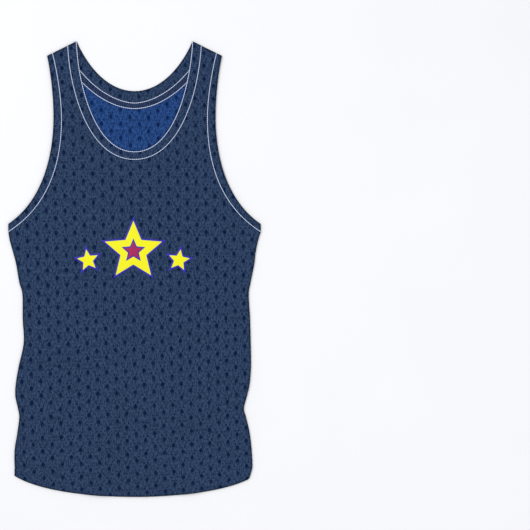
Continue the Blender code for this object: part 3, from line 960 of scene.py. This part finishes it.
def sewThread(name, line, surface, spec):
    # a row of stitches along a line, on the surface's height
    steps = np.linalg.norm(np.diff(line, axis=0), axis=1)
    along = np.concatenate([[0.0], np.cumsum(steps)])
    pitch = spec["length"] + spec["gap"]
    count = int((along[-1] - spec["gap"]) / pitch)
    spare = (along[-1] - count * pitch + spec["gap"]) / 2
    t = np.linspace(0.0, 1.0, spec["stations"])
    vertices, faces, twists = [], [], []
    for k in range(count):
        s = spare + k * pitch + t * spec["length"]
        behind, middle, ahead = (np.column_stack([np.interp(s + step, along, line[:, 0]),
                                                  np.interp(s + step, along, line[:, 1])])
                                 for step in (-spec["sight"], 0.0, spec["sight"]))
        forward = ahead - behind
        forward /= np.linalg.norm(forward, axis=1)[:, None]
        across = np.column_stack([-forward[:, 1], forward[:, 0]])
        height = surface(middle) + spec["facing"] * (spec["rise"] * arch(t, spec) - spec["sunk"])
        added = oneStitch(t, middle, across, height, spec, len(vertices))
        vertices += added[0]
        faces += added[1]
        twists += added[2]
    piece = newPiece(name, vertices, faces, (threadMaterial,))
    layer = piece.data.uv_layers.new(name="twist")
    layer.uv.foreach_set("vector", np.array([p for face in twists for p in face], np.float32).ravel())
    piece.data.update()
    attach(piece, "root")


def movedAside(line, distance):
    # positive is to the left of the line's own direction
    ahead = np.gradient(line, axis=0)
    ahead /= np.linalg.norm(ahead, axis=1)[:, None]
    return line + np.column_stack([-ahead[:, 1], ahead[:, 0]]) * distance


def frontBandTop(points):
    return frontBandUnder(points) + cloth["band"]


def tapeTop(points):
    return tapeUnder(points) + cloth["tape"]


# neck lines run from left to right, so that the neck opening is on their left
neckEdgeFront = bothSides(bezier(cut["frontNeckEdge"]))
neckSeamFront = bothSides(bezier(cut["frontNeckSeam"]))
neckSeamBack = bothSides(backNeckSeam())
tapeUpper = bothSides(bezier(cut["backNeckSeam"]))
tapeLower = bothSides(bezier(cut["tapeLowerEdge"]))


def inScoop(line):
    above = [[0.0, stitch["scoopTop"]]]
    scoop = np.vstack([neckEdgeFront, neckEdgeFront[-1:] + above, neckEdgeFront[:1] + above])
    return line[isInside(line, inset(counterClockwise(scoop), -stitch["hidden"]))]


sewThread("stitches_front_neck_edge", movedAside(neckEdgeFront, -stitch["fromEdge"]), frontBandTop, upward)
sewThread("stitches_front_neck_seam", movedAside(neckSeamFront, stitch["fromSeam"]), frontBandTop, upward)
for side, sign in (("left", -1), ("right", 1)):
    onBand = movedAside(placed(armhole("armholeSeam"), sign), sign * stitch["fromSeam"])
    sewThread(f"stitches_armhole_{side}_front", onBand, frontBandTop, upward)
    sewThread(f"stitches_armhole_{side}_back", onBand, backUnder, downward)
sewThread("stitches_tape_upper", inScoop(tapeUpper), tapeTop, upward)
sewThread("stitches_tape_lower", inScoop(movedAside(tapeLower, stitch["fromSeam"])), tapeTop, upward)
sewThread("stitches_back_neck_seam", movedAside(neckSeamBack, stitch["fromSeam"]), backUnder, downward)
print("stitches sewn")

# The print on the chest: plain five-pointed stars in layered film, each layer smaller than the last.
# A layer is its colour, how far in from the star's edge it starts, and the stars that have it.
chest = {
    "stars": (
        {"x": -0.0017, "drop": 0.3410, "radius": 0.0560, "turn": 0},
        {"x": -0.0757, "drop": 0.3560, "radius": 0.0250, "turn": -9},
        {"x": 0.0723, "drop": 0.3560, "radius": 0.0250, "turn": 9},
    ),
    "layers": {
        "border": ("#2a20a8", 0.0, (0, 1, 2)),
        "field": ("#f0ec0a", 0.0026, (0, 1, 2)),
        "heart": ("#2a20a8", 0.0135, (0,)),
        "spark": ("#a01654", 0.0154, (0,)),
    },
    "points": 5,
    "waist": 0.45,  # radius of the inner corners, as a share of the outer
    "rounding": 0.0008, "film": 0.00008, "lift": 0.00009, "apart": 0.00002,
    "sag": 0.00035,  # how far the film is pressed into the eyelets
    "spacing": 0.006, "clearance": 0.0012,
}


def starOutline(star, border):
    waist, part = chest["waist"], math.pi / chest["points"]
    toSide = waist * math.sin(part) / math.hypot(1.0 - waist * math.cos(part), waist * math.sin(part))
    radius = star["radius"] - border / toSide
    corners = []
    for i in range(2 * chest["points"]):
        angle = math.radians(star["turn"]) + part * i
        reach = radius * (waist if i % 2 else 1.0)
        corners.append((star["x"] + reach * math.sin(angle), star["drop"] - reach * math.cos(angle)))
    corners = placed(corners, 1)
    points = []
    for before, corner, after in zip(np.roll(corners, 1, axis=0), corners, np.roll(corners, -1, axis=0)):
        toBefore = (before - corner) / np.linalg.norm(before - corner)
        toAfter = (after - corner) / np.linalg.norm(after - corner)
        start, end = corner + toBefore * chest["rounding"], corner + toAfter * chest["rounding"]
        points += [start, (start + end + 2 * corner) / 4, end]
        length = np.linalg.norm(after - corner) - 2 * chest["rounding"]
        steps = math.ceil(length / cut["step"])
        points += [end + toAfter * length * i / steps for i in range(1, steps)]
    return np.array(points)


def pressFilm():
    for level, (name, (colour, border, which)) in enumerate(chest["layers"].items()):
        film = pressedFilm("heat-transfer film, " + name, colour)
        lift = cloth["panel"] + chest["lift"] + level * (chest["film"] + chest["apart"])
        look = {**plainShell, "topDepth": chest["sag"], "sparse": chest["spacing"],
                "clearance": chest["clearance"], "edgeRows": (), "materials": (film,)}
        for i in which:
            piece = makeShell(f"chest_star_{i + 1}_{name}", starOutline(chest["stars"][i], border),
                              lambda points: frontUnder(points) + lift, chest["film"], look)
            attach(piece, "root")


pressFilm()
print("chest print pressed on")

# A plain pale sweep under soft studio light, and a camera straight above, framed as in the photo
stageLook = {
    "floorSize": 9.0, "floorDrop": 0.0004, "floorColour": "#f6f6f7", "floorFleck": "#f3f3f5",
    "fleckScale": 60.0, "worldColour": "#f5f6f9", "worldStrength": 0.68,
    "imageCentre": (0.2120, 0.0066), "imageWidth": 0.86125, "lens": 100.0, "sensor": 36.0,
    "clothHeight": 0.002,  # the height at which the image is imageWidth wide
}
bpy.ops.mesh.primitive_plane_add(size=stageLook["floorSize"], location=(0.0, 0.0, -stageLook["floorDrop"]))
floor = bpy.context.active_object
floor.name = "floor"
floorMaterial, floorTree, floorShader = newMaterial("matt paper sweep", {
    "Roughness": 0.9, "Specular IOR Level": 0.1,
})
flecks = addNode(floorTree, "TexNoise", {"Scale": stageLook["fleckScale"], "Detail": 2.0})
floorColour = addNode(floorTree, "Mix", {"data_type": "RGBA", 6: hexToLinear(stageLook["floorColour"]),
                                         7: hexToLinear(stageLook["floorFleck"])}, {0: flecks})
plug(floorTree, floorColour.outputs[2], floorShader.inputs["Base Color"])
floor.data.materials.append(floorMaterial)

world = bpy.data.worlds.new("studio")
bpy.context.scene.world = world
world.use_nodes = True
background = world.node_tree.nodes["Background"]
background.inputs["Color"].default_value = hexToLinear(stageLook["worldColour"])
background.inputs["Strength"].default_value = stageLook["worldStrength"]

softboxes = {
    "key": {"place": (-1.2, 0.9, 2.5), "size": 1.6, "power": 32.0},
    "fill": {"place": (1.6, -0.9, 2.4), "size": 2.2, "power": 20.0},
}
for name, box in softboxes.items():
    light = bpy.data.lights.new(name, "AREA")
    light.size = box["size"]
    light.energy = box["power"]
    lamp = bpy.data.objects.new(name, light)
    lamp.location = box["place"]
    lamp.rotation_euler = (-Vector(box["place"])).to_track_quat("-Z", "Y").to_euler()
    bpy.context.scene.collection.objects.link(lamp)

bpy.context.scene.view_settings.view_transform = "Standard"
camera = bpy.data.cameras.new("camera")
camera.lens = stageLook["lens"]
camera.sensor_width = stageLook["sensor"]
viewer = bpy.data.objects.new("camera", camera)
distance = stageLook["imageWidth"] * stageLook["lens"] / stageLook["sensor"]
viewer.location = (*stageLook["imageCentre"], distance + stageLook["clothHeight"])
bpy.context.scene.collection.objects.link(viewer)
bpy.context.scene.camera = viewer

print("stage set")
